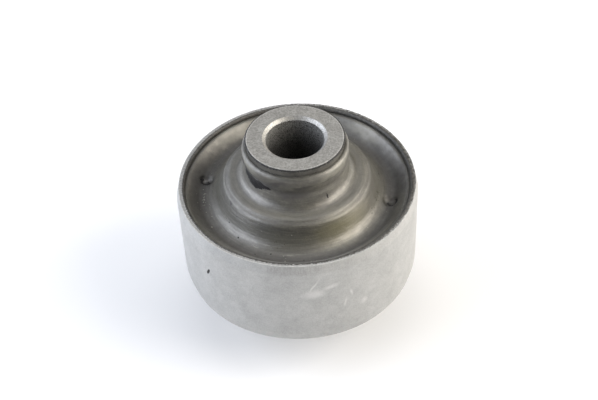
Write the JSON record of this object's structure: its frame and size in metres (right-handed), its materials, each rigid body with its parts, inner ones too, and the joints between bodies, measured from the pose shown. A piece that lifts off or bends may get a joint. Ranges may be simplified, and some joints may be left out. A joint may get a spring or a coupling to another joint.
{
  "type": "rubber metal bush",
  "caption": "Rubber metal bush: plain steel outer sleeve and longer steel inner sleeve joined by a stepped, moulded rubber ring.",
  "frame": {"origin": "middle of the bore, halfway between the inner sleeve's end faces", "axes": "+Z along the bore, towards the end with the gate marks; the X axis runs through both gate marks"},
  "size_m": [0.06, 0.06, 0.054],
  "materials": {
    "outer_sleeve": "satin, phosphated",
    "rubber": "moulded, half gloss",
    "inner_sleeve": "satin, turned"
  },
  "bodies": {
    "root": {"outer_sleeve": "outer_sleeve", "rubber": "rubber", "inner_sleeve": "inner_sleeve"}
  },
  "joints": []
}
